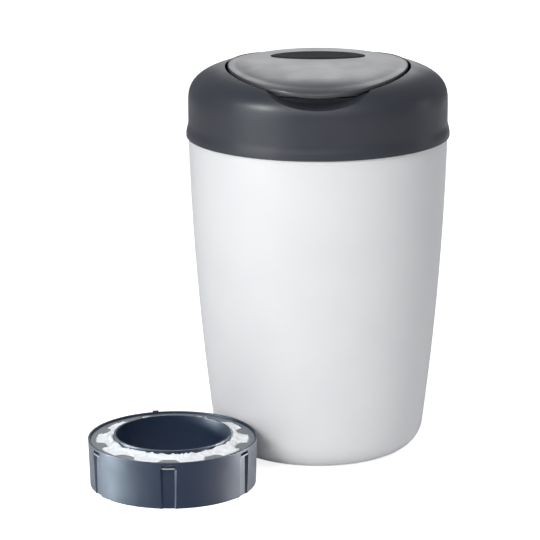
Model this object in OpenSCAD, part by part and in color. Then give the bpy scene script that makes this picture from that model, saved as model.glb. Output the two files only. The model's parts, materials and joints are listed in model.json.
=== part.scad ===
// Nappy bin: a tub, a lift-off head with a hinged flap, a twisting film holder
// and one film cassette that stands beside the bin.
// Millimetres, +Z up. The origin is on the bin's own axis, on the floor. The front is -Y.

/* [Tub] */
// Radius that the side wall's curve has at the floor
tub_base_r = 106.2; // [98:0.5:110]
// Outer radius of the tub at its shoulder, where the head's lip begins
tub_top_r = 132.8; // [130:0.1:138]
// Height of the shoulder above the floor
tub_h = 329.5; // [300:0.5:360]
// How far the side wall bows out of a straight line at half its height
tub_bulge = 4.6; // [0:0.1:6]
// Radius of the round between the floor and the side wall
tub_foot_r = 29; // [15:0.5:32]
// Thickness of the side wall
tub_wall = 2.5; // [1.8:0.1:3]
// Thickness of the floor
tub_floor = 3; // [2:0.1:5]
// Height of the rim that stands up inside the head
rim_h = 15.5; // [10:0.5:18]
// Thickness of that rim
rim_t = 2.4; // [1.8:0.1:3]

/* [Head] */
// How far the lip stands out past the dome's wall
lip_out = 2.2; // [1:0.1:4]
// Height of the lip's straight band
lip_h = 2.5; // [2:0.5:6]
// Height over which the lip runs back into the wall
lip_blend = 12.5; // [8:0.5:15]
// Height of the upright wall, from the lip's lower edge to the start of the dome
wall_h = 34.7; // [32:0.1:42]
// Rise of the dome above the upright wall
dome_rise = 41.6; // [38:0.1:46]
// Sharpness of the dome's shoulder across, where 2 is an ellipse
dome_across = 3.5; // [3:0.05:4]
// Sharpness of the dome's shoulder upwards, where 2 is an ellipse
dome_up = 2.86; // [2.5:0.02:3.2]
// Thickness of the head cover
head_t = 2.6; // [2:0.1:3.2]
// Space between the tub's rim and the head around it
head_gap = 0.6; // [0.4:0.1:1.2]

/* [Flap] */
// How much wider the flap is than the cassette that is lifted out under it, each side
flap_side_out = 7; // [6:0.1:9]
// How far inside the tub's shoulder radius each end of the flap lies
flap_end_in = 13.6; // [13:0.1:14.2]
// How far the flap's middle lies in front of the bin's axis
flap_shift = 0.2; // [0:0.1:1]
// Gap between the flap and the edge of its opening
flap_gap = 3; // [2.5:0.1:4]
// Thickness of the flap cover
flap_t = 3; // [2:0.1:3.4]
// How far the flap's flat border stands above the dome
flap_proud = 0.3; // [0.1:0.1:2]
// How far the crown rises above the border
crown_h = 1.5; // [0.5:0.1:6]
// Width of the flat border at the flap's sides
border_side = 7; // [4:0.5:10]
// Width of the flat border at the flap's front
border_front = 12; // [6:0.5:16]
// Depth of the soft groove between the border and the crown
groove_soft = 0.5; // [0.2:0.1:1]
// Height of the bead along the edge
bead_h = 0.7; // [0.3:0.1:1.2]
// Half the inlay's width
badge_a = 48.5; // [35:0.5:55]
// Half the inlay's length
badge_b = 22; // [12:1:26]
// How far the inlay's middle lies behind the flap's middle
badge_back = 19.2; // [10:0.2:30]
// Height of the inlay above the flap
badge_t = 0.8; // [0.5:0.1:1.5]

/* [Finger scoop] */
// Radius of the ball that the scoop is cut with
scoop_r = 120; // [115:1:140]
// Height of the scoop's front edge above the head's lower edge
scoop_up = 49.4; // [47:0.1:51]
// Lean of the scoop's floor at its front edge, in degrees
scoop_lean = 0; // [-3:0.5:2]
// Space between the scoop's inner end and the holder's rim
scoop_room = 9.8; // [8:0.1:12]
// Half the width of the wall that closes the scoop's inner end
upstand_half = 34.4; // [30:0.1:36]

/* [Hinge] */
// How far inside the tub's shoulder radius the hinge line lies
hinge_in = 22.8; // [22:0.1:23.8]
// Height of the hinge line above the lip's lower edge
hinge_up = 57; // [56.6:0.1:57.2]
// Radius of the hinge pin
pin_r = 2; // [1.5:0.1:2.5]
// Space between the pin and the holes it sits in
pin_gap = 0.05; // [0.03:0.01:0.08]
// Radius of the hinge barrel and of the ears around the pin
barrel_r = 4.2; // [4:0.1:4.4]
// Half the width of the bay that the barrel turns in
bay_half = 42.5; // [41:0.5:44]
// Thickness of each ear
ear_t = 4; // [3:0.5:5]

/* [Well and gripper] */
// How much wider the opening for the nappy is than the cassette's inner tube, all round
throat_out = 3.5; // [2:0.1:4.5]
// Thickness of the tray's floor
tray_floor = 3; // [2.5:0.1:3.5]
// Depth of the tray below its flange
tray_depth = 16; // [15.5:0.5:18]
// Width of the tray's flange
flange_w = 15.5; // [14.5:0.1:18]
// Thickness of the tray's flange and wall
tray_t = 2.5; // [2:0.1:3]
// Thickness of the seal between the head and the tub's rim
seal_t = 2; // [1.5:0.1:3]
// Space between faces that turn on each other
turn_gap = 0.3; // [0.2:0.05:0.4]
// Thickness of the holder's wall
holder_t = 2.2; // [1.8:0.1:2.6]
// Space between the cassette and the holder
cassette_gap = 1.4; // [1:0.1:1.8]
// Width of the holder's rim
holder_rim = 4.4; // [3:0.1:4.6]
// Number of knobs to turn the holder by
knob_count = 24; // [12:1:30]
// Height of those knobs
knob_h = 3; // [1.5:0.5:3.5]
// Depth of the cup that carries the gripper's fingers
cup_depth = 17; // [15:0.5:20]
// How much wider that cup is than the opening for the nappy, all round
cup_out = 16; // [15.5:0.5:18.5]
// Distance from the middle to the tips of the closed fingers
finger_hole = 12.8; // [11.5:0.1:18]
// Thickness of each finger
finger_t = 1.6; // [1.2:0.1:2]
// Slope of a closed finger below the horizontal
finger_slope = 36; // [30:1:42]
// How far inside the flange's edge the four tray screws stand
tray_screw_in = 9.5; // [9:0.1:10]
// How far outside the holder's wall the four gripper screws stand
cup_screw_out = 9.4; // [8.4:0.1:10]
// Radius of a screw's thread
screw_r = 1.5; // [1.2:0.1:1.8]

/* [Cassette] */
// Outer radius at the top of the cassette
cassette_r = 85; // [84:0.1:85.5]
// How much narrower the cassette is at its floor
cassette_taper = 1.5; // [0.5:0.1:2]
// Height of the outer wall
cassette_h = 48; // [44:0.5:49]
// Height of the inner tube
tube_h = 52; // [50.5:0.5:52.5]
// Inner radius of the inner tube
tube_r = 57; // [55:0.1:58]
// Thickness of the cassette's walls and floor
cassette_t = 2; // [1.6:0.1:2.2]
// Number of grooves round the outer wall
groove_count = 6; // [3:1:6]
// Width of a groove's flat back
groove_w = 11; // [10:0.5:14]
// How far each flank of a groove slopes outwards, at the top of the outer wall
groove_flank = 3.2; // [2:0.1:4]
// Depth of a groove at the top of the outer wall
groove_d = 3.4; // [3:0.1:3.6]
// Height of a groove
groove_h = 41; // [36:0.5:42]
// Height of the little window above each groove
window_h = 3; // [2:0.1:3.2]
// Number of tabs on the cover ring
tab_count = 10; // [6:1:12]
// How far the tabs reach in from the cover ring
tab_reach = 9; // [5:0.5:11]
// Space between the tub and the cassette that stands beside it
stand_gap = 2.2; // [1.5:0.1:30]
// Direction that the cassette stands in, in degrees in front of the bin's left side
stand_turn = 42.97; // [30:1:60]

/* [Hidden] */
$fn = 96;

// Tub: the side wall is a parabola in height, and the foot's round meets it at its own slope
foot_slope = atan((tub_top_r - tub_base_r + 4 * tub_bulge) / tub_h);
foot_x = tub_base_r + tub_foot_r * tan(foot_slope) - tub_foot_r / cos(foot_slope);
foot_steps = 8;
wall_steps = 22;
wall_start = tub_foot_r * 1.15;

// Head: the dome stands over the tub's shoulder with a thin shadow gap
shadow_gap = 0.3;
lip_z = tub_h + shadow_gap;
dome_z0 = lip_z + wall_h;
dome_r = tub_top_r;
dome_steps = 22;
head_in_r = dome_r - head_t;
rim_r = head_in_r - head_gap;
rim_top = tub_h + rim_h;
seal_w = 3.8;
flange_z = rim_top + seal_t;
flange_top = flange_z + tray_t;
flange_slack = 0.2;
flange_r = head_in_r - flange_slack;

// Flap and hinge line
flap_a = cassette_r + flap_side_out;
flap_b = dome_r - flap_end_in;
hinge_y = dome_r - hinge_in;
hinge_z = lip_z + hinge_up;

// Radii of the tray and its opening
throat_r = tube_r + throat_out;
tray_r = flange_r - flange_w;
tray_screw_ring = flange_r - tray_screw_in;

// Tray and the parts that hang from it
tray_top = flange_top - tray_depth - tray_t;
tray_under = tray_top - tray_floor;
foot_h = 2;
holder_under = tray_top + turn_gap + foot_h;
holder_floor = 2.2;
holder_top_floor = holder_under + holder_floor;
holder_in_r = cassette_r + cassette_gap;
holder_r = holder_in_r + holder_t;
holder_h = 45.5;
holder_top = holder_top_floor + holder_h;
holder_rim_r = holder_r + holder_rim;
rim_lip_t = 2.5;
spigot_r = throat_r + 2.5;
retainer_t = 2.6;
retainer_w = 6;
knob_w = 4;
knob_depth = 2.8;
rib_slack = 0.6;
rib_h = groove_h - 6;

// Gripper: a cup under the tray, with a six-sided hole and a finger at each side of it
finger_count = 6;
cup_t = 2.5;
cup_r = throat_r + cup_out;
cup_screw_ring = holder_r + cup_screw_out;
cup_flange_w = 8;
cup_floor_z = tray_under - cup_depth;
bead_r = cup_t / 2;
finger_z = cup_floor_z + bead_r;
finger_in = throat_r - 5.6;
finger_slack = 0.3;
hex_apothem = finger_in + bead_r + finger_slack;
finger_side_gap = 1.6;
finger_end_gap = 4.6;
finger_root_half = hex_apothem * tan(30) - finger_end_gap;
finger_len = (finger_in - finger_hole) / cos(finger_slope);
cup_ear_r = 5;
boss_h = 7;
boss_r = 3.6;
head_boss_r = 4;
screw_head_r = 3.4;
screw_head_t = 2.2;
screw_len = 10;
screw_slack = 0.3;
thread_slack = 0.05;
screw_angles = [30, 150, 210, 330];

// Flap
crown_a = flap_a - border_side;
crown_b = flap_b - border_front;
crown_power = 5;
opening_a = flap_a + flap_gap;
opening_b = flap_b + flap_gap;
bay_room = 14;
bay_back = hinge_y + bay_room;
flap_sides = 96;
liner_t = 2.5;
liner_top = hinge_z + barrel_r;
liner_z = liner_top - liner_t;
liner_side_in = 2.6;
liner_end_in = 9.5;
liner_a = flap_a - liner_side_in;
liner_b = flap_b - liner_end_in;
leaf_len = 30;
flap_seal_w = 2.8;
post_r = 4;
post_x = 45;
post_y = 50;
top_rings = [0.15, 0.3, 0.45, 0.6, 0.72, 0.82, 0.9, 0.95, 1, 1.06, 1.2, 1.5, 1.8, 1.87, 1.93, 2];
under_rings = [2, 1.5, 1, 0.9, 0.75, 0.5, 0.25];
badge_rings = [0.3, 0.6, 0.85, 0.96, 1];
badge_lift = 0.06;
scoop_edge_y = -dome_at(lip_z + scoop_up);
scoop_y = scoop_edge_y + scoop_r * sin(scoop_lean);
scoop_z = lip_z + scoop_up + scoop_r * cos(scoop_lean);
scoop_end_y = -holder_rim_r - scoop_room;
scoop_clear = flap_t - flap_proud + 1;
upstand_gap = 0.8;
upstand_top = liner_z - upstand_gap;

// Cassette
cassette_low_r = cassette_r - cassette_taper;
groove_x = cassette_r - groove_d;
groove_back = 2.2;
cover_t = 1;
cover_z = cassette_h - 3;
cover_w = 5;
cover_slack = 0.3;
film_slack = 0.3;
film_r = groove_x - groove_back - film_slack;
film_in_r = tube_r + cassette_t + film_slack;
window_w = groove_w + 1.5;
window_z = cassette_h - 5.6;
nib_w = 6;
nib_h = 1.6;
nib_angle = 105;

// Outer radius of the tub's side wall at height z
function tub_r(z) =
    tub_base_r + (tub_top_r - tub_base_r) * z / tub_h + 4 * tub_bulge * z / tub_h * (1 - z / tub_h);

// Height of the dome's outer face at distance r from the axis
function dome_z(r) =
    dome_z0 + dome_rise * pow(max(0, 1 - pow(min(r, dome_r) / dome_r, dome_across)), 1 / dome_up);

// Points of a dome that is smaller by t all round
function dome_arc(t) =
    [for (i = [0 : dome_steps]) let (a = 90 * i / dome_steps)
        [(dome_r - t) * pow(cos(a), 2 / dome_across), dome_z0 + (dome_rise - t) * pow(sin(a), 2 / dome_up)]];

// Radius of the dome's outer face at height z
function dome_at(z) = dome_r * pow(1 - pow((z - dome_z0) / dome_rise, dome_up), 1 / dome_across);

// The flap's rings count q from 0 in the middle to 1 at the crown's edge and 2 at the border's edge
function ring_a(q) = q < 1 ? q * crown_a : crown_a + (q - 1) * border_side;
function ring_b(q) = q < 1 ? q * crown_b : crown_b + (q - 1) * border_front;
function crown_q(x, y) = norm([x / crown_a, (y + flap_shift) / crown_b]);

// Heights that the flap's upper and lower faces add to the dome on ring q
function crown_lift(q) = flap_proud + (q < 1 ? crown_h * (1 - pow(q, crown_power)) : 0);
function flap_lift(q) =
    crown_lift(q)
    - groove_soft * max(0, 1 - abs(q - 1) / 0.1)
    + bead_h * max(0, 1 - abs(q - 1.93) / 0.08);

function flap_top(x, y) = dome_z(norm([x, y])) + flap_lift(crown_q(x, y));
function flap_under(x, y) = dome_z(norm([x, y])) + crown_lift(crown_q(x, y)) - flap_t;

// Points of an oval with half-axes a and b
function oval(a, b, sides) = [for (i = [0 : sides - 1]) [a * cos(360 * i / sides), b * sin(360 * i / sides)]];

// Faces of a closed skin: rings of n points, one inside the next, with a point at each end
function skin_faces(rings, n) = concat(
    [for (i = [0 : n - 1]) [0, 1 + (i + 1) % n, 1 + i]],
    [for (k = [0 : rings - 2], i = [0 : n - 1])
        [1 + k * n + i, 1 + k * n + (i + 1) % n, 1 + (k + 1) * n + i]],
    [for (k = [0 : rings - 2], i = [0 : n - 1])
        [1 + k * n + (i + 1) % n, 1 + (k + 1) * n + (i + 1) % n, 1 + (k + 1) * n + i]],
    [for (i = [0 : n - 1]) [1 + (rings - 1) * n + i, 1 + (rings - 1) * n + (i + 1) % n, 1 + rings * n]]);

// The closed dome with its lip, smaller by t all round; the lip belongs to the outer one only
module dome_solid(t) {
    lip = t == 0
        ? concat([[dome_r + lip_out, lip_z], [dome_r + lip_out, lip_z + lip_h]],
            [for (i = [1 : 5]) let (u = i / 5)
                [dome_r + lip_out * (0.5 + 0.5 * cos(180 * u)), lip_z + lip_h + lip_blend * u]])
        : [[dome_r - t, lip_z - 1]];
    rotate_extrude() polygon(concat([[0, t == 0 ? lip_z : lip_z - 1]], lip, dome_arc(t)));
}

// A ring round the bin's axis
module ring(r_in, r_out, z_low, z_high) {
    translate([0, 0, z_low]) difference() {
        cylinder(r = r_out, h = z_high - z_low);
        translate([0, 0, -1]) cylinder(r = r_in, h = z_high - z_low + 2);
    }
}

module at_screws(ring_r, z) {
    for (a = screw_angles) rotate(a) translate([ring_r, 0, z]) children();
}

module pan_screws(ring_r, z) {
    at_screws(ring_r, z) {
        cylinder(r = screw_r, h = screw_len, $fn = 32);
        translate([0, 0, -screw_head_t]) difference() {
            cylinder(r = screw_head_r, h = screw_head_t, $fn = 32);
            translate([-0.5, -2.2, -1]) cube([1, 4.4, 2]);
            translate([-2.2, -0.5, -1]) cube([4.4, 1, 2]);
        }
    }
}

module tub() {
    outer = concat([for (i = [0 : foot_steps]) let (a = -90 + (90 - foot_slope) * i / foot_steps)
            [foot_x + tub_foot_r * cos(a), tub_foot_r + tub_foot_r * sin(a)]],
        [for (i = [0 : wall_steps]) let (z = wall_start + (tub_h - wall_start) * i / wall_steps)
            [tub_r(z), z]]);
    foot_in = tub_foot_r - tub_wall;
    inner = concat([[tub_top_r - tub_wall, tub_h - 6]],
        [for (i = [wall_steps - 1 : -1 : 0]) let (z = wall_start + (tub_h - wall_start) * i / wall_steps)
            [tub_r(z) - tub_wall, z]],
        [for (i = [foot_steps : -1 : 0]) let (a = -90 + (90 - foot_slope) * i / foot_steps)
            [foot_x + foot_in * cos(a), tub_foot_r + (tub_foot_r - tub_floor) * sin(a)]]);
    rim = [[rim_r, tub_h], [rim_r, rim_top], [rim_r - rim_t, rim_top], [rim_r - rim_t, tub_h - 3]];
    color("white") rotate_extrude() polygon(concat([[0, 0]], outer, rim, inner, [[0, tub_floor]]));
}

module flap_opening() {
    translate([0, -flap_shift, dome_z0]) linear_extrude(dome_rise + 20)
        polygon(oval(opening_a, opening_b, flap_sides));
}

// The ball that the scoop is cut with, its poles turned away from the scoop's floor
module scoop_ball(grow) {
    translate([0, scoop_y, scoop_z]) rotate([90, 0, 0]) sphere(r = scoop_r + grow);
}

// The floor of the ball-shaped scoop, and the upstand that closes its inner end under the liner
module scoop_wall() {
    intersection() {
        difference() {
            scoop_ball(head_t);
            scoop_ball(0);
        }
        union() {
            difference() {
                dome_solid(0);
                flap_opening();
            }
            translate([0, 0, -scoop_clear]) dome_solid(0);
        }
        translate([-dome_r, -dome_r, lip_z]) cube([2 * dome_r, dome_r + scoop_end_y, wall_h + dome_rise]);
    }
    floor_z = scoop_z - sqrt(pow(scoop_r, 2) - pow(scoop_end_y - scoop_y, 2)) - head_t / 2;
    translate([-upstand_half, scoop_end_y - head_t, floor_z])
        cube([2 * upstand_half, head_t, upstand_top - floor_z]);
}

module ear_plate() {
    rotate([90, 0, 90]) linear_extrude(ear_t) union() {
        translate([hinge_y, hinge_z]) circle(r = barrel_r, $fn = 48);
        translate([hinge_y, hinge_z - barrel_r]) square([dome_r - hinge_y, dome_rise]);
    }
}

module head_cover() {
    color("#3d4047") difference() {
        union() {
            difference() {
                dome_solid(0);
                dome_solid(head_t);
                flap_opening();
                translate([-bay_half, hinge_y - 20, dome_z0])
                    cube([2 * bay_half, bay_back - hinge_y + 20, dome_rise]);
                scoop_ball(0);
            }
            scoop_wall();
            intersection() {
                dome_solid(0);
                union() {
                    at_screws(tray_screw_ring, flange_top)
                        cylinder(r = head_boss_r, h = dome_rise + wall_h, $fn = 48);
                    translate([bay_half, 0, 0]) ear_plate();
                    translate([-bay_half - ear_t, 0, 0]) ear_plate();
                }
            }
        }
        translate([-bay_half - ear_t - 1, hinge_y, hinge_z]) rotate([0, 90, 0])
            cylinder(r = pin_r + pin_gap, h = 2 * (bay_half + ear_t + 1), $fn = 48);
        at_screws(tray_screw_ring, flange_top - 1)
            cylinder(r = screw_r + thread_slack, h = screw_len + 2, $fn = 32);
    }
}

module head_seal() {
    color("#26282c") ring(rim_r - seal_w, rim_r, rim_top, flange_z);
}

module well_tray() {
    color("#4a4e56") difference() {
        union() {
            ring(tray_r - tray_t, flange_r, flange_z, flange_top);
            ring(tray_r - tray_t, tray_r, tray_under, flange_top);
            ring(spigot_r + turn_gap, tray_r, tray_under, tray_top);
            at_screws(cup_screw_ring, tray_top) cylinder(r = boss_r, h = boss_h, $fn = 48);
        }
        at_screws(cup_screw_ring, tray_under - 1)
            cylinder(r = screw_r + thread_slack, h = screw_len + 1, $fn = 32);
        at_screws(tray_screw_ring, flange_z - 1)
            cylinder(r = screw_r + screw_slack, h = tray_t + 2, $fn = 32);
    }
}

module tray_screws() {
    color("silver") pan_screws(tray_screw_ring, flange_z);
}

module twist_holder() {
    spigot_z = tray_under - turn_gap - retainer_t;
    foot_in = spigot_r + 7;
    foot_out = foot_in + 3;
    foot_z = holder_under - foot_h;
    color("#8b8f98") {
        rotate_extrude() polygon([[throat_r, spigot_z], [spigot_r, spigot_z], [spigot_r, holder_under],
            [foot_in, holder_under], [foot_in, foot_z], [foot_out, foot_z], [foot_out, holder_under],
            [holder_r, holder_under], [holder_r, holder_top - rim_lip_t],
            [holder_rim_r, holder_top - rim_lip_t], [holder_rim_r, holder_top],
            [holder_in_r, holder_top], [holder_in_r, holder_top_floor], [throat_r, holder_top_floor]]);
        for (i = [0 : knob_count - 1]) rotate(360 * i / knob_count)
            translate([holder_rim_r - knob_depth - 0.2, -knob_w / 2, holder_top - 1])
                cube([knob_depth, knob_w, knob_h + 1]);
        for (i = [0 : groove_count - 1]) rotate(-90 + 360 * i / groove_count)
            translate([groove_x + rib_slack, -groove_w / 2 + 1.2, holder_top_floor - 1])
                cube([holder_r - 1 - groove_x - rib_slack, groove_w - 2.4, rib_h + 1]);
    }
}

module holder_retainer() {
    color("#6d717a") ring(spigot_r + thread_slack, spigot_r + retainer_w,
        tray_under - turn_gap - retainer_t, tray_under - turn_gap);
}

module gripper_cup() {
    color("#5b5f68") difference() {
        union() {
            translate([0, 0, cup_floor_z]) cylinder(r = cup_r, h = cup_depth);
            ring(cup_r - 1, cup_r + cup_flange_w, tray_under - cup_t, tray_under);
            at_screws(0, tray_under - cup_t) {
                translate([cup_r, -cup_ear_r, 0]) cube([cup_screw_ring - cup_r, 2 * cup_ear_r, cup_t]);
                translate([cup_screw_ring, 0, 0]) cylinder(r = cup_ear_r, h = cup_t, $fn = 48);
            }
        }
        translate([0, 0, cup_floor_z + cup_t]) cylinder(r = cup_r - cup_t, h = cup_depth);
        rotate(30) translate([0, 0, cup_floor_z - 1])
            cylinder(r = hex_apothem / cos(30), h = cup_t + 2, $fn = finger_count);
        at_screws(cup_screw_ring, tray_under - cup_t - 1)
            cylinder(r = screw_r + screw_slack, h = cup_t + 2, $fn = 32);
    }
}

module cup_screws() {
    color("silver") pan_screws(cup_screw_ring, tray_under - cup_t);
}

// One sprung finger: a bead along its root, and a flat leaf that slopes down to the middle
module gripper_finger(i) {
    root = finger_root_half;
    tip = (finger_in - finger_len * cos(finger_slope)) * tan(30) - finger_side_gap / 2;
    color("#c9ccd1") rotate(360 * (i - 1) / finger_count) translate([finger_in, 0, finger_z]) {
        rotate([90, 0, 0]) translate([0, 0, -root + 2]) cylinder(r = bead_r, h = 2 * root - 4, $fn = 32);
        rotate([0, -finger_slope, 0]) translate([0, 0, -finger_t / 2]) linear_extrude(finger_t) union() {
            polygon([[0, root - 2], [-4, root - 2], [tip - finger_len, tip],
                [tip - finger_len, -tip], [-4, 2 - root], [0, 2 - root]]);
            translate([tip - finger_len, 0]) circle(r = tip, $fn = 48);
        }
    }
}

module gripper_finger_1() gripper_finger(1);
module gripper_finger_2() gripper_finger(2);
module gripper_finger_3() gripper_finger(3);
module gripper_finger_4() gripper_finger(4);
module gripper_finger_5() gripper_finger(5);
module gripper_finger_6() gripper_finger(6);

module hinge_pin() {
    color("silver") translate([-bay_half - ear_t, hinge_y, hinge_z]) rotate([0, 90, 0])
        cylinder(r = pin_r, h = 2 * (bay_half + ear_t), $fn = 48);
}

module flap_cover() {
    around = [for (i = [0 : flap_sides - 1]) [cos(360 * i / flap_sides), sin(360 * i / flap_sides)]];
    middle = [0, -flap_shift];
    points = concat([[middle.x, middle.y, flap_top(middle.x, middle.y)]],
        [for (q = top_rings, p = around) let (x = ring_a(q) * p.x, y = ring_b(q) * p.y - flap_shift)
            [x, y, dome_z(norm([x, y])) + flap_lift(q)]],
        [for (q = under_rings, p = around) let (x = ring_a(q) * p.x, y = ring_b(q) * p.y - flap_shift)
            [x, y, dome_z(norm([x, y])) + crown_lift(q) - flap_t]],
        [[middle.x, middle.y, flap_under(middle.x, middle.y)]]);
    color("#8e9299")
        polyhedron(points, skin_faces(len(top_rings) + len(under_rings), flap_sides), convexity = 4);
}

module flap_inlay() {
    rings = 2 * len(badge_rings);
    edge = oval(badge_a, badge_b, flap_sides);
    middle = badge_back - flap_shift;
    points = concat([[0, middle, flap_top(0, middle) + badge_lift + badge_t]],
        [for (s = badge_rings, p = edge) let (x = s * p.x, y = s * p.y + middle)
            [x, y, flap_top(x, y) + badge_lift + badge_t * (s < 0.9 ? 1 : s < 1 ? 0.9 : 0.5)]],
        [for (k = [len(badge_rings) - 1 : -1 : 0], p = edge)
            let (s = badge_rings[k], x = s * p.x, y = s * p.y + middle) [x, y, flap_top(x, y) + badge_lift]],
        [[0, middle, flap_top(0, middle) + badge_lift]]);
    color("#2b2e35") polyhedron(points, skin_faces(rings, flap_sides), convexity = 4);
}

module flap_liner() {
    leaf_half = bay_half - 4;
    barrel_half = bay_half - 0.5;
    color("#a9adb3") difference() {
        union() {
            translate([0, -flap_shift, liner_z]) linear_extrude(liner_t)
                polygon(oval(liner_a, liner_b, flap_sides));
            translate([-leaf_half, hinge_y - leaf_len, liner_z]) cube([2 * leaf_half, leaf_len, liner_t]);
            translate([-barrel_half, hinge_y, hinge_z]) rotate([0, 90, 0])
                cylinder(r = barrel_r, h = 2 * barrel_half, $fn = 48);
            for (x = [-post_x, post_x], y = [-post_y, post_y]) translate([x, y - flap_shift, liner_z])
                cylinder(r = post_r, h = flap_under(x * 1.1, y * 1.1 - flap_shift) - 0.3 - liner_z, $fn = 32);
        }
        translate([-bay_half, hinge_y, hinge_z]) rotate([0, 90, 0])
            cylinder(r = pin_r + pin_gap, h = 2 * bay_half, $fn = 48);
    }
}

module flap_seal() {
    color("#26282c") ring(holder_in_r, holder_in_r + flap_seal_w, holder_top + turn_gap, liner_z);
}

module at_stand() {
    away = tub_r(cassette_h) + stand_gap + cassette_r;
    rotate(180 + stand_turn) translate([away, 0, 0]) rotate(-180 - stand_turn) children();
}

module cassette_body() {
    color("#33405a") at_stand() {
        difference() {
            union() {
                rotate_extrude() polygon([[tube_r, 0], [cassette_low_r - 1, 0], [cassette_low_r, 1],
                    [cassette_r, cassette_h], [cassette_r - cassette_t, cassette_h],
                    [cassette_low_r - cassette_t, cassette_t], [tube_r + cassette_t, cassette_t],
                    [tube_r + cassette_t, tube_h], [tube_r, tube_h]]);
                intersection() {
                    cylinder(r = cassette_low_r - 0.5, h = groove_h + 1);
                    for (i = [0 : groove_count - 1]) rotate(-90 + 360 * i / groove_count)
                        translate([groove_x - groove_back, -groove_w / 2 - groove_flank, 0])
                            cube([groove_back + 3, groove_w + 2 * groove_flank, groove_h + 1]);
                }
            }
            for (i = [0 : groove_count - 1]) rotate(-90 + 360 * i / groove_count) {
                translate([groove_x, 0, -1]) linear_extrude(groove_h + 1) polygon([
                    [0, groove_w / 2], [0, -groove_w / 2],
                    [groove_d * 1.5, -groove_w / 2 - groove_flank * 1.5],
                    [groove_d * 1.5, groove_w / 2 + groove_flank * 1.5]]);
                translate([groove_x - 1, -window_w / 2, window_z]) cube([groove_d + 3, window_w, window_h]);
            }
        }
        rotate(nib_angle) translate([cassette_r - cassette_t, -nib_w / 2, cassette_h - 1])
            cube([cassette_t - 0.4, nib_w, nib_h + 1]);
    }
}

module cassette_cover() {
    outer = cassette_r - cassette_t - cassette_taper * (cassette_h - cover_z) / cassette_h - cover_slack;
    color("#8f969c") at_stand() {
        ring(outer - cover_w, outer, cover_z, cover_z + cover_t);
        for (i = [0 : tab_count - 1]) rotate(360 * (i + 0.5) / tab_count)
            translate([outer - cover_w - tab_reach, 0, cover_z]) linear_extrude(cover_t)
                polygon([[2, -8], [0, -5], [0, 5], [2, 8], [tab_reach + 1.4, 12], [tab_reach + 1.4, -12]]);
    }
}

module film_pack() {
    tab_in = cassette_r - cassette_t - cassette_taper * (cassette_h - cover_z) / cassette_h
        - cover_slack - cover_w - tab_reach;
    crest_r = (film_in_r + tab_in) / 2;
    color("#eef0f2") at_stand() rotate_extrude() polygon([[film_in_r, cassette_t], [film_r, cassette_t],
        [film_r, cover_z - 4], [film_r - 4, cover_z - film_slack], [tab_in - 1.5, cover_z - film_slack],
        [(crest_r + tab_in) / 2, cover_z + 2], [crest_r, tube_h - 2.6],
        [(film_in_r + crest_r) / 2, tube_h - 2], [film_in_r, tube_h - 2.8]]);
}

tub();
head_cover();
head_seal();
well_tray();
tray_screws();
twist_holder();
holder_retainer();
gripper_cup();
cup_screws();
gripper_finger_1();
gripper_finger_2();
gripper_finger_3();
gripper_finger_4();
gripper_finger_5();
gripper_finger_6();
hinge_pin();
flap_cover();
flap_inlay();
flap_liner();
flap_seal();
cassette_body();
cassette_cover();
film_pack();
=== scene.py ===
import json
import math

import bpy
from mathutils import Matrix, Vector, noise


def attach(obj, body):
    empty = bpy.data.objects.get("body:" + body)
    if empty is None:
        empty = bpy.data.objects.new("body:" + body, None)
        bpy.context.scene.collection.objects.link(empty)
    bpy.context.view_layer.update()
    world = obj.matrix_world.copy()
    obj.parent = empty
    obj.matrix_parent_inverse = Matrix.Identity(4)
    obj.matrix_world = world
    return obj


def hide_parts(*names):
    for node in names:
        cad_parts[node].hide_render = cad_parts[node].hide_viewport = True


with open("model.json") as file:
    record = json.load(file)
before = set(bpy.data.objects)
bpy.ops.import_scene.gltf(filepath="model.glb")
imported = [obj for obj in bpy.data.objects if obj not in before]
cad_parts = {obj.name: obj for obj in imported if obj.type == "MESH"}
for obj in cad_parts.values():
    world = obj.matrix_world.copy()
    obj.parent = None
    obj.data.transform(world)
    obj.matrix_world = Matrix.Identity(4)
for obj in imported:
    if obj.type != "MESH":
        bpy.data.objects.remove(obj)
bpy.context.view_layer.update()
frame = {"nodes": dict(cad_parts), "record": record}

scene = bpy.context.scene
MM = 0.001


# ---------------------------------------------------------------- camera, in metres and radians
IMAGE_WIDTH, FOCAL_PX = 540, 2784.1
AXIS_PX = 319.5  # the column of the bin's axis, right of the photograph's middle
SENSOR_WIDTH = 36  # millimetres
CAMERA_PLACE = (0, -2.8, 0.912)
PITCH = 0.2539
CLIP_NEAR, CLIP_FAR = 0.1, 30


def set_camera():
    """The photograph's viewpoint: 2.8 m in front, looking down 14.5 degrees."""
    data = bpy.data.cameras.new("camera")
    data.sensor_width = SENSOR_WIDTH
    data.lens = FOCAL_PX * SENSOR_WIDTH / IMAGE_WIDTH
    data.clip_start, data.clip_end = CLIP_NEAR, CLIP_FAR
    camera = bpy.data.objects.new("camera", data)
    scene.collection.objects.link(camera)
    off_centre = AXIS_PX - IMAGE_WIDTH / 2
    yaw = math.atan(off_centre / FOCAL_PX)
    roll = math.atan(off_centre / (FOCAL_PX / math.tan(PITCH)))
    turn = Matrix.Rotation(yaw, 4, "Z") @ Matrix.Rotation(math.pi / 2 - PITCH, 4, "X")
    camera.matrix_world = Matrix.Translation(CAMERA_PLACE) @ turn @ Matrix.Rotation(-roll, 4, "Z")
    scene.camera = camera


# ---------------------------------------------------------------- lamps and world
WHITE, COOL = (1, 1, 1), (0.95, 0.98, 1)
BLUE, PALE_BLUE = (0.74, 0.88, 1), (0.88, 0.91, 1)
ON_CASSETTE = (-0.146, -0.136, 0.02)
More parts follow.
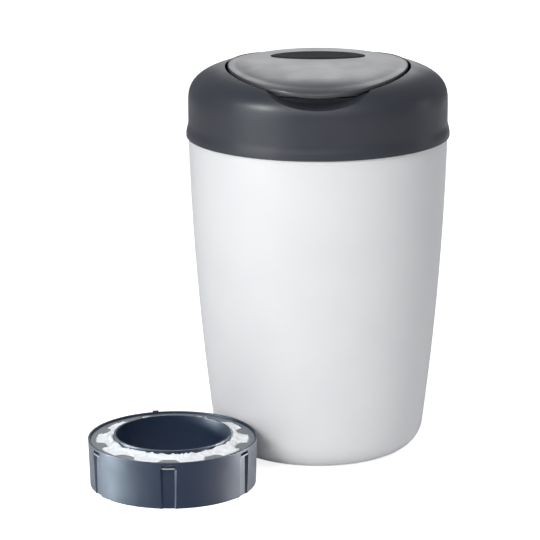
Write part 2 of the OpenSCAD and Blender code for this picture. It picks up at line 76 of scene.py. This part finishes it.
# Each lamp's name, the part of the light it gives, place, aim and size in metres, power in watts
# and colour.
LAMPS = [
    ("left", "diffuse", (-1.7, -0.35, 0.62), (0, 0, 0.25), (1.0, 1.1), 3.2, COOL),
    ("front", "diffuse", (-1.3, -2.4, 1.7), (0, 0, 0.2), (1.2, 1.2), 57, WHITE),
    ("front_right", "diffuse", (1.5, -2.2, 1.2), (0, 0, 0.2), (1.4, 1.4), 6, WHITE),
    ("above", "diffuse", (0.1, -0.2, 2.4), (0, 0, 0.3), (1.2, 1.2), 12, WHITE),
    ("behind", "diffuse", (1.2, 2.1, 1.3), (0, 0, 0.2), (1.4, 1.4), 13, WHITE),
    ("panel", "gloss", (-1.42, -1.11, 0.5), (0, 0, 0.3), (1.2, 1.0), 8.5, COOL),
    ("spot", "gloss", (-1.31, -0.99, 1.35), (0, 0, 0.4), (0.32, 0.26), 16.5, WHITE),
    ("sky", "gloss", (0.1, -2.3, 2.1), (0, 0, 0.35), (2.4, 1.6), 24, WHITE),
    ("back_low", "gloss", (0.05, 2.3, 0.62), (0, 0, 0.4), (0.9, 0.6), 1.7, WHITE),
    ("back", "gloss", (0.05, 2.2, 1.2), (0, 0, 0.4), (0.9, 0.5), 2.9, WHITE),
    ("back_high", "gloss", (0.05, 1.9, 1.75), (0, 0, 0.4), (0.9, 0.5), 6.0, WHITE),
    ("rim", "gloss", (1.9, 0.5, 0.5), (0, 0, 0.35), (0.5, 0.8), 1.0, WHITE),
    ("cassette_left", "gloss", (-1.4, -0.27, 0.12), ON_CASSETTE, (0.45, 0.24), 215, BLUE),
    ("cassette_right", "gloss", (1.08, 0.08, 0.12), ON_CASSETTE, (0.4, 0.24), 135, PALE_BLUE),
    ("cassette_sky", "diffuse", (-0.5, -0.9, 1.3), ON_CASSETTE, (0.5, 0.5), 1.6, (0.97, 0.99, 1)),
    ("cassette_top", "gloss", (-0.2, -0.86, 1.0), ON_CASSETTE, (0.5, 0.3), 14, (0.95, 0.97, 1)),
]
CASSETTE_LAMPS = ["cassette_left", "cassette_right", "cassette_sky", "cassette_top"]
WORLD_COLOUR, WORLD_STRENGTH = (0.9, 0.93, 1), 0.26


def set_lamps():
    for name, gives, place, aim, size, power, colour in LAMPS:
        data = bpy.data.lights.new(name, "AREA")
        data.shape = "RECTANGLE"
        data.size, data.size_y = size
        data.energy = power
        data.color = colour
        light = bpy.data.objects.new(name, data)
        light.location = place
        light.visible_camera = False
        light.visible_diffuse = gives == "diffuse"
        light.visible_glossy = gives == "gloss"
        light.rotation_euler = (Vector(aim) - Vector(place)).to_track_quat("-Z", "Y").to_euler()
        scene.collection.objects.link(light)


def set_world():
    """A soft, even light on everything, and white behind it for the camera."""
    world = bpy.data.worlds.new("world")
    scene.world = world
    world.use_nodes = True
    nodes, links = world.node_tree.nodes, world.node_tree.links
    nodes.clear()
    out = nodes.new("ShaderNodeOutputWorld")
    mix = nodes.new("ShaderNodeMixShader")
    path = nodes.new("ShaderNodeLightPath")
    soft = nodes.new("ShaderNodeBackground")
    soft.inputs["Color"].default_value = (*WORLD_COLOUR, 1)
    soft.inputs["Strength"].default_value = WORLD_STRENGTH
    white = nodes.new("ShaderNodeBackground")
    white.inputs["Color"].default_value = (*WHITE, 1)
    links.new(path.outputs["Is Camera Ray"], mix.inputs["Fac"])
    links.new(soft.outputs[0], mix.inputs[1])
    links.new(white.outputs[0], mix.inputs[2])
    links.new(mix.outputs[0], out.inputs["Surface"])


def light_only(lamps, pieces):
    """Let some lamps fall on some pieces only: the photograph joins two separately lit shots."""
    lit = bpy.data.collections.new("lit_by_" + lamps[0])
    for piece in pieces:
        lit.objects.link(piece)
    for name in lamps:
        bpy.data.objects[name].light_linking.receiver_collection = lit


# ---------------------------------------------------------------- floor
FLOOR_REACH = 6  # metres each way
FLOOR_GREY, FLOOR_ROUGH, FLOOR_SPECULAR = 0.85, 0.8, 0.1
FLOOR_LIFT = 0.8  # added for the camera alone, so it puts no light on the object


def set_floor():
    """A pale floor that keeps the object's shadow."""
    mesh = bpy.data.meshes.new("floor")
    corners = [(-1, -1), (1, -1), (1, 1), (-1, 1)]
    points = [(x * FLOOR_REACH, y * FLOOR_REACH, 0) for x, y in corners]
    mesh.from_pydata(points, [], [(0, 1, 2, 3)])
    floor = bpy.data.objects.new("floor", mesh)
    scene.collection.objects.link(floor)
    material = bpy.data.materials.new("floor")
    material.use_nodes = True
    nodes, links = material.node_tree.nodes, material.node_tree.links
    shader = nodes["Principled BSDF"]
    shader.inputs["Base Color"].default_value = (FLOOR_GREY, FLOOR_GREY, FLOOR_GREY, 1)
    shader.inputs["Roughness"].default_value = FLOOR_ROUGH
    shader.inputs["Specular IOR Level"].default_value = FLOOR_SPECULAR
    lift = nodes.new("ShaderNodeEmission")
    lift.inputs["Strength"].default_value = FLOOR_LIFT
    dark = nodes.new("ShaderNodeEmission")
    dark.inputs["Strength"].default_value = 0
    path = nodes.new("ShaderNodeLightPath")
    choose, both = nodes.new("ShaderNodeMixShader"), nodes.new("ShaderNodeAddShader")
    links.new(path.outputs["Is Camera Ray"], choose.inputs["Fac"])
    links.new(dark.outputs[0], choose.inputs[1])
    links.new(lift.outputs[0], choose.inputs[2])
    links.new(shader.outputs[0], both.inputs[0])
    links.new(choose.outputs[0], both.inputs[1])
    links.new(both.outputs[0], nodes["Material Output"].inputs["Surface"])
    mesh.materials.append(material)


# ---------------------------------------------------------------- materials
TONE_SCALE, TONE_DETAIL, TONE_LOW, TONE_HIGH = 18, 3, 0.35, 0.65
POLISH_SCALE, POLISH_DETAIL, POLISH_LOW, POLISH_HIGH = 40, 4, 0.3, 0.7
GRAIN_DETAIL, GRAIN_DEPTH = 2, 0.0002
BEVEL_SAMPLES = 6


def plastic(name, colour, other, rough, spread=0.04, grain=0.06, grain_scale=1600, coat=0.0,
            coat_rough=0.1, specular=0.5, metallic=0.0, edge=0.0):
    """Two close tones, an uneven polish, a fine grain, and edges rounded by edge metres."""
    material = bpy.data.materials.new(name)
    material.use_nodes = True
    nodes, links = material.node_tree.nodes, material.node_tree.links
    shader = nodes["Principled BSDF"]
    shader.inputs["Coat Weight"].default_value = coat
    shader.inputs["Coat Roughness"].default_value = coat_rough
    shader.inputs["Specular IOR Level"].default_value = specular
    shader.inputs["Metallic"].default_value = metallic
    place = nodes.new("ShaderNodeTexCoord")

    def noise_node(scale, detail):
        node = nodes.new("ShaderNodeTexNoise")
        node.inputs["Scale"].default_value = scale
        node.inputs["Detail"].default_value = detail
        links.new(place.outputs["Object"], node.inputs["Vector"])
        return node

    tone = noise_node(TONE_SCALE, TONE_DETAIL)
    ramp = nodes.new("ShaderNodeValToRGB")
    stops = ramp.color_ramp.elements
    stops[0].position, stops[1].position = TONE_LOW, TONE_HIGH
    stops[0].color, stops[1].color = (*colour, 1), (*other, 1)
    links.new(tone.outputs["Fac"], ramp.inputs["Fac"])
    links.new(ramp.outputs["Color"], shader.inputs["Base Color"])
    polish = noise_node(POLISH_SCALE, POLISH_DETAIL)
    span = nodes.new("ShaderNodeMapRange")
    span.inputs["From Min"].default_value = POLISH_LOW
    span.inputs["From Max"].default_value = POLISH_HIGH
    span.inputs["To Min"].default_value = rough - spread
    span.inputs["To Max"].default_value = rough + spread
    links.new(polish.outputs["Fac"], span.inputs["Value"])
    links.new(span.outputs["Result"], shader.inputs["Roughness"])
    grains = noise_node(grain_scale, GRAIN_DETAIL)
    bump = nodes.new("ShaderNodeBump")
    bump.inputs["Strength"].default_value = grain
    bump.inputs["Distance"].default_value = GRAIN_DEPTH
    links.new(grains.outputs["Fac"], bump.inputs["Height"])
    if edge:
        rounded = nodes.new("ShaderNodeBevel")
        rounded.samples = BEVEL_SAMPLES
        rounded.inputs["Radius"].default_value = edge
        links.new(rounded.outputs["Normal"], bump.inputs["Normal"])
    links.new(bump.outputs["Normal"], shader.inputs["Normal"])
    return material


MATERIALS = {
    "tub_plastic": plastic(
        "tub_white", (0.80, 0.80, 0.80), (0.78, 0.78, 0.785), 0.38,
        coat=0.15, coat_rough=0.2, edge=0.0006),
    "head_plastic": plastic(
        "head_slate", (0.032, 0.035, 0.044), (0.035, 0.038, 0.048), 0.38, edge=0.0006),
    "flap_plastic": plastic(
        "flap_grey", (0.055, 0.057, 0.063), (0.060, 0.062, 0.068), 0.34, edge=0.0005),
    "inlay_plastic": plastic(
        "inlay_dark", (0.018, 0.019, 0.023), (0.022, 0.023, 0.027), 0.5, specular=0.005),
    "liner_plastic": plastic(
        "liner_grey", (0.30, 0.31, 0.325), (0.32, 0.33, 0.345), 0.45, edge=0.0004),
    "inner_plastic": plastic(
        "inner_grey", (0.16, 0.17, 0.185), (0.175, 0.185, 0.20), 0.45, edge=0.0004),
    "holder_plastic": plastic(
        "holder_grey", (0.26, 0.275, 0.30), (0.28, 0.295, 0.32), 0.40, edge=0.0004),
    "finger_plastic": plastic(
        "finger_natural", (0.56, 0.58, 0.60), (0.60, 0.62, 0.64), 0.38, edge=0.0003),
    "seal_rubber": plastic(
        "seal_rubber", (0.018, 0.018, 0.020), (0.024, 0.024, 0.026), 0.72,
        grain=0.25, grain_scale=900),
    "screw_steel": plastic(
        "screw_steel", (0.58, 0.58, 0.57), (0.66, 0.66, 0.65), 0.28,
        metallic=1.0, grain=0.1, grain_scale=2500),
    "cassette_plastic": plastic(
        "cassette_blue", (0.012, 0.023, 0.050), (0.014, 0.027, 0.056), 0.38,
        spread=0.03, specular=0.4, edge=0.0005),
    "cover_plastic": plastic(
        "cover_grey", (0.13, 0.15, 0.165), (0.145, 0.165, 0.18), 0.36, edge=0.0003),
    "film": plastic(
        "film_white", (0.84, 0.86, 0.87), (0.78, 0.80, 0.82), 0.38,
        coat=0.2, coat_rough=0.2, grain=0.08, grain_scale=400),
}


# ---------------------------------------------------------------- sizes in millimetres
# These follow the solids.
DOME_R, DOME_Z, DOME_RISE, DOME_ACROSS, DOME_UP = 132.8, 364.5, 41.6, 3.5, 2.86
FLAP_A, FLAP_B, FLAP_SHIFT, FLAP_T = 92.0, 119.2, 0.2, 3.0
BORDER_SIDE, BORDER_FRONT = 7.0, 12.0
PROUD, CROWN_H, CROWN_POWER = 0.3, 1.5, 5
CASSETTE_R, CASSETTE_T = 85.0, 2.0
GROOVE_COUNT, WINDOW_HALF = 6, 6.25
COVER_OUT, COVER_W, TAB_REACH, TAB_COUNT = 82.606, 5.0, 9.0, 10
STAND_X, STAND_Y = -146.04, -136.04
# A tab flares fast over its tip and slowly from there to the cover's ring.
TAB_TIP, TAB_TIP_HALF, TAB_TIP_FLARE = 2, 5, 1.5
TAB_HALF, TAB_FLARE, TAB_FLARE_OVER = 8, 4, 8.4

# A painted highlight: a light strip under each of the cassette's windows, where the sill catches
# light.
SILL_LOW, SILL_HIGH = 41.0, 42.45
SILL_HIGHLIGHT_COLOUR = (0.30, 0.33, 0.36)

# The flap's finer skin. Ring 0 is its middle, ring 1 the crown's edge and ring 2 the rim.
FLAP_SIDES = 288
TOP_RINGS = [0.06, 0.12, 0.2, 0.3, 0.4, 0.5, 0.6, 0.68, 0.75, 0.8, 0.84, 0.88, 0.91, 0.94, 0.97,
             1.0, 1.03, 1.06, 1.1, 1.14, 1.18, 1.25, 1.4, 1.6, 1.76, 1.8, 1.83, 1.86, 1.89, 1.91,
             1.93, 1.95, 1.97, 1.985, 1.995, 2.0]
TOP_DROP = {1.985: 0.1, 1.995: 0.3, 2.0: 0.7}
UNDER_RINGS = [2.0, 1.985, 1.9, 1.6, 1.2, 1.0, 0.85, 0.6, 0.3]
UNDER_RISE = {2.0: 0.5}
GROOVE_SOFT, GROOVE_INWARD, GROOVE_OUTWARD = 0.25, 0.22, 0.8
BEAD_H, BEAD_RING, BEAD_HALF = 0.9, 1.91, 0.1

# The folded film below the cover ring.
STACK_SIDES, STACK_FOLDS = 120, 34
STACK_LOW, STACK_HIGH, STACK_OUT, STACK_IN, FOLD_DEPTH = 2.2, 43.6, 78.9, 59.5, 0.55

# The film's top fold.
FILM_SIDES, FILM_RINGS = 480, 52
FILM_IN, FILM_OUT, FILM_Z, FILM_MAX_Z = 59.2, 80.5, 46.3, 51.4
CREST_R, CREST_WIDTH, CREST_H = 62.0, 4.2, 3.4
WARP_SIZE, WARP = 17, 7
BROAD_SIZE, FOLD_SIZE, CREASE_SIZE, TINY_SIZE = 13, 10, 5, 2.4
BROAD_H, FOLD_H, CREASE_H, TINY_H = 1.1, 1.4, 0.9, 0.15
RIDGE_SHARP = 2.4
TUCK_START, TUCK_OVER, TUCKED_Z, TUCKED_H = 1.6, 1.4, 44.4, 0.2


def paint_sill_highlights(material):
    """Paint a highlight, a light strip, on the cassette's outer wall under each window."""
    nodes, links = material.node_tree.nodes, material.node_tree.links
    shader = nodes["Principled BSDF"]
    place = nodes.new("ShaderNodeTexCoord")
    parts = nodes.new("ShaderNodeSeparateXYZ")
    links.new(place.outputs["Object"], parts.inputs[0])

    def math_node(operation, first, second=0.0):
        node = nodes.new("ShaderNodeMath")
        node.operation = operation
        for socket, value in zip(node.inputs, (first, second)):
            if isinstance(value, (int, float)):
                socket.default_value = value
            else:
                links.new(value, socket)
        return node.outputs[0]

    def product(first, second):
        return math_node("MULTIPLY", first, second)

    x = math_node("SUBTRACT", parts.outputs["X"], STAND_X * MM)
    y = math_node("SUBTRACT", parts.outputs["Y"], STAND_Y * MM)
    turn = product(math_node("ARCTAN2", x, y), GROOVE_COUNT)
    window = math.cos(GROOVE_COUNT * WINDOW_HALF / CASSETTE_R)
    near = math_node("GREATER_THAN", math_node("COSINE", turn), window)
    radius = math_node("SQRT", math_node("ADD", product(x, x), product(y, y)))
    outer = math_node("GREATER_THAN", radius, (CASSETTE_R - CASSETTE_T) * MM)
    over = math_node("GREATER_THAN", parts.outputs["Z"], SILL_LOW * MM)
    under = math_node("LESS_THAN", parts.outputs["Z"], SILL_HIGH * MM)
    # The painted highlight's mask: near a window, on the outer wall, between the strip's two
    # heights.
    share = product(product(near, outer), product(over, under))
    mix = nodes.new("ShaderNodeMix")
    mix.data_type = "RGBA"
    links.new(share, mix.inputs["Factor"])
    links.new(shader.inputs["Base Color"].links[0].from_socket, mix.inputs["A"])
    # The painted highlight's colour, mixed into the wall's base colour inside the strip.
    mix.inputs["B"].default_value = (*SILL_HIGHLIGHT_COLOUR, 1)
    links.new(mix.outputs["Result"], shader.inputs["Base Color"])


# ---------------------------------------------------------------- mesh helpers
SMOOTH_ANGLE = 28  # degrees
WELD_DISTANCE = 0.000002  # metres


def smoother(angle):
    """Geometry nodes that shade a mesh smooth, except along edges sharper than angle."""
    tree = bpy.data.node_groups.new("smooth_by_angle", "GeometryNodeTree")
    tree.interface.new_socket("Geometry", in_out="INPUT", socket_type="NodeSocketGeometry")
    tree.interface.new_socket("Geometry", in_out="OUTPUT", socket_type="NodeSocketGeometry")
    start, end = tree.nodes.new("NodeGroupInput"), tree.nodes.new("NodeGroupOutput")
    faces = tree.nodes.new("GeometryNodeSetShadeSmooth")
    edges = tree.nodes.new("GeometryNodeSetShadeSmooth")
    edges.domain = "EDGE"
    edges.inputs["Shade Smooth"].default_value = False
    turn = tree.nodes.new("GeometryNodeInputMeshEdgeAngle")
    over = tree.nodes.new("FunctionNodeCompare")
    over.data_type, over.operation = "FLOAT", "GREATER_THAN"
    over.inputs["B"].default_value = math.radians(angle)
    tree.links.new(start.outputs[0], faces.inputs["Geometry"])
    tree.links.new(faces.outputs[0], edges.inputs["Geometry"])
    tree.links.new(turn.outputs["Unsigned Angle"], over.inputs["A"])
    tree.links.new(over.outputs["Result"], edges.inputs["Selection"])
    tree.links.new(edges.outputs[0], end.inputs[0])
    return tree


SMOOTH = smoother(SMOOTH_ANGLE)


def smooth_by_angle(obj):
    shade = obj.modifiers.new("smooth", "NODES")
    shade.node_group = SMOOTH


def dress(obj, slot):
    """Give a CAD node its material and smooth shading; its mesh stays as it is."""
    obj.data.materials.clear()
    obj.data.materials.append(MATERIALS[slot])
    weld = obj.modifiers.new("weld", "WELD")
    weld.merge_threshold = WELD_DISTANCE
    smooth_by_angle(obj)


def new_piece(name, points, faces, body, slot, stands_for=()):
    """A mesh piece with points in millimetres, which rides on a body and takes a slot's finish."""
    mesh = bpy.data.meshes.new(name)
    mesh.from_pydata([(x * MM, y * MM, z * MM) for x, y, z in points], [], faces)
    mesh.update()
    piece = bpy.data.objects.new(name, mesh)
    scene.collection.objects.link(piece)
    mesh.materials.append(MATERIALS[slot])
    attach(piece, body)
    if stands_for:
        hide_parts(*stands_for)
    return piece


# ---------------------------------------------------------------- flap
def dome_z(r):
    """The head dome's height at radius r."""
    share = max(0.0, 1 - (min(r, DOME_R) / DOME_R) ** DOME_ACROSS)
    return DOME_Z + DOME_RISE * share ** (1 / DOME_UP)


def soft_bump(x):
    """1 at x = 0, falling smoothly to 0 at x = 1 and beyond."""
    return 0.5 + 0.5 * math.cos(math.pi * min(1.0, abs(x)))


def ring_place(q, k):
    """Where point k of the flap's ring q lies, seen from above."""
    side, front = FLAP_A - BORDER_SIDE, FLAP_B - BORDER_FRONT
    rx = q * side if q < 1 else side + (q - 1) * BORDER_SIDE
    ry = q * front if q < 1 else front + (q - 1) * BORDER_FRONT
    a = 2 * math.pi * k / FLAP_SIDES
    return rx * math.cos(a), ry * math.sin(a) - FLAP_SHIFT


def crown_lift(q):
    return CROWN_H * (1 - q ** CROWN_POWER) if q < 1 else 0


def top_lift(q):
    """How far the flap's top stands over the dome at ring q: crown, groove and bead."""
    dip = soft_bump((1 - q) / GROOVE_INWARD) if q < 1 else soft_bump((q - 1) / GROOVE_OUTWARD)
    bead = soft_bump((q - BEAD_RING) / BEAD_HALF)
    return PROUD + crown_lift(q) - GROOVE_SOFT * dip + BEAD_H * bead


def make_flap():
    """The flap's cover with a finer bead, groove and crown than the solid has."""
    points = [(0, -FLAP_SHIFT, dome_z(FLAP_SHIFT) + top_lift(0))]
    for q in TOP_RINGS:
        for k in range(FLAP_SIDES):
            x, y = ring_place(q, k)
            z = dome_z(math.hypot(x, y)) + top_lift(q) - TOP_DROP.get(q, 0)
            points.append((x, y, z))
    for q in UNDER_RINGS:
        for k in range(FLAP_SIDES):
            x, y = ring_place(q, k)
            z = dome_z(math.hypot(x, y)) + PROUD + crown_lift(q) - FLAP_T + UNDER_RISE.get(q, 0)
            points.append((x, y, z))
    points.append((0, -FLAP_SHIFT, dome_z(FLAP_SHIFT) + PROUD + CROWN_H - FLAP_T))

    def at(ring, k):
        return 1 + ring * FLAP_SIDES + k % FLAP_SIDES

    last_ring, last_point = len(TOP_RINGS) + len(UNDER_RINGS) - 1, len(points) - 1
    sides = range(FLAP_SIDES)
    faces = [(0, at(0, k), at(0, k + 1)) for k in sides]
    faces += [(at(r, k), at(r + 1, k), at(r + 1, k + 1), at(r, k + 1))
              for r in range(last_ring) for k in sides]
    faces += [(at(last_ring, k + 1), at(last_ring, k), last_point) for k in sides]
    piece = new_piece("flap_shell", points, faces, "flap", "flap_plastic", ("flap_cover",))
    smooth_by_angle(piece)


# ---------------------------------------------------------------- film
def make_film_stack():
    """The folded film below the cover ring: a closed ring with concertina folds."""
    outer, inner = [], []
    for i in range(2 * STACK_FOLDS + 1):
        z = STACK_LOW + (STACK_HIGH - STACK_LOW) * i / (2 * STACK_FOLDS)
        push = FOLD_DEPTH if i % 2 else 0.0
        outer.append((STACK_OUT - push, z))
        inner.append((STACK_IN + push, z))
    profile = outer + inner[::-1]
    count = len(profile)
    points, faces = [], []
    for k in range(STACK_SIDES):
        a = 2 * math.pi * k / STACK_SIDES
        points += [(STAND_X + r * math.cos(a), STAND_Y + r * math.sin(a), z) for r, z in profile]
        here, there = k * count, (k + 1) % STACK_SIDES * count
        for i in range(count):
            j = (i + 1) % count
            faces.append((here + i, there + i, there + j, here + j))
    piece = new_piece("film_stack", points, faces, "cassette", "film", ("film_pack",))
    smooth_by_angle(piece)
    return piece


def inside_tab(r, angle):
    """How far a point lies inside the nearest tab's outline; negative outside."""
    step = 2 * math.pi / TAB_COUNT
    off = (angle + step / 2) % step - step / 2
    along = r * math.cos(off) - (COVER_OUT - COVER_W - TAB_REACH)
    across = abs(r * math.sin(off))
    if along < TAB_TIP:
        half = TAB_TIP_HALF + TAB_TIP_FLARE * along
    else:
        half = TAB_HALF + (along - TAB_TIP) * TAB_FLARE / TAB_FLARE_OVER
    return min(half - across, along)


def film_noise(place, size, shift=(0, 0, 0)):
    """Smooth noise about size across; another shift gives another pattern of it."""
    return noise.noise(place / size + Vector(shift))


def film_ridge(place, size, shift):
    """The same noise folded into ridges, 1 along their crests."""
    return 1 - abs(film_noise(place, size, shift)) * RIDGE_SHARP


def film_height(place, r, angle):
    """The top fold's height: a crumpled crest round the inner tube, tucked under the cover."""
    warp_x, warp_y = film_noise(place, WARP_SIZE), film_noise(place, WARP_SIZE, (9, 3, 1))
    warped = place + Vector((warp_x, warp_y, 0)) * WARP
    broad = film_noise(warped, BROAD_SIZE, (3, 1, 2))
    folds = film_ridge(warped, FOLD_SIZE, (0, 0, 4))
    creases = film_ridge(warped, CREASE_SIZE, (5, 0, 7))
    tiny = film_noise(warped, TINY_SIZE, (2, 8, 3))
    crumple = BROAD_H * broad + FOLD_H * (folds - 0.5) + CREASE_H * (creases - 0.5) + TINY_H * tiny
    crest = math.exp(-((r - CREST_R) / CREST_WIDTH) ** 2)
    free = FILM_Z + CREST_H * crest + crumple * (0.5 + 0.5 * crest)
    inside = max(inside_tab(r, angle - math.pi / TAB_COUNT), r - (COVER_OUT - COVER_W))
    tuck = min(1.0, max(0.0, (inside + TUCK_START) / TUCK_OVER))
    tuck = tuck * tuck * (3 - 2 * tuck)
    tucked = min(free, TUCKED_Z + TUCKED_H * tiny)
    return min(free * (1 - tuck) + tucked * tuck, FILM_MAX_Z)


def make_film_top():
    """The film's top fold, bulging up round the inner tube and between the cover's tabs."""
    points = []
    for j in range(FILM_RINGS + 1):
        share = j / FILM_RINGS
        r = FILM_IN + (FILM_OUT - FILM_IN) * share
        for k in range(FILM_SIDES):
            a = 2 * math.pi * k / FILM_SIDES
            place = Vector((r * math.cos(a), r * math.sin(a), 0))
            points.append((STAND_X + place.x, STAND_Y + place.y, film_height(place, r, a)))
    faces = []
    for j in range(FILM_RINGS):
        here, there = j * FILM_SIDES, (j + 1) * FILM_SIDES
        for k in range(FILM_SIDES):
            after = (k + 1) % FILM_SIDES
            faces.append((here + k, there + k, there + after, here + after))
    piece = new_piece("film_top", points, faces, "cassette", "film")
    piece.data.shade_smooth()
    return piece


# ---------------------------------------------------------------- scene
set_camera()
set_lamps()
set_world()
set_floor()
slots = {row["node"]: row["material_slot"] for row in frame["record"]["subparts"]}
for node, obj in frame["nodes"].items():
    dress(obj, slots[node])
# Paint a highlight strip under each cassette window into the wall's base colour.
paint_sill_highlights(MATERIALS["cassette_plastic"])
make_flap()
film = [make_film_stack(), make_film_top()]
cassette = [frame["nodes"]["cassette_body"], frame["nodes"]["cassette_cover"]]
light_only(CASSETTE_LAMPS, cassette + film)

scene.view_settings.view_transform = "Standard"
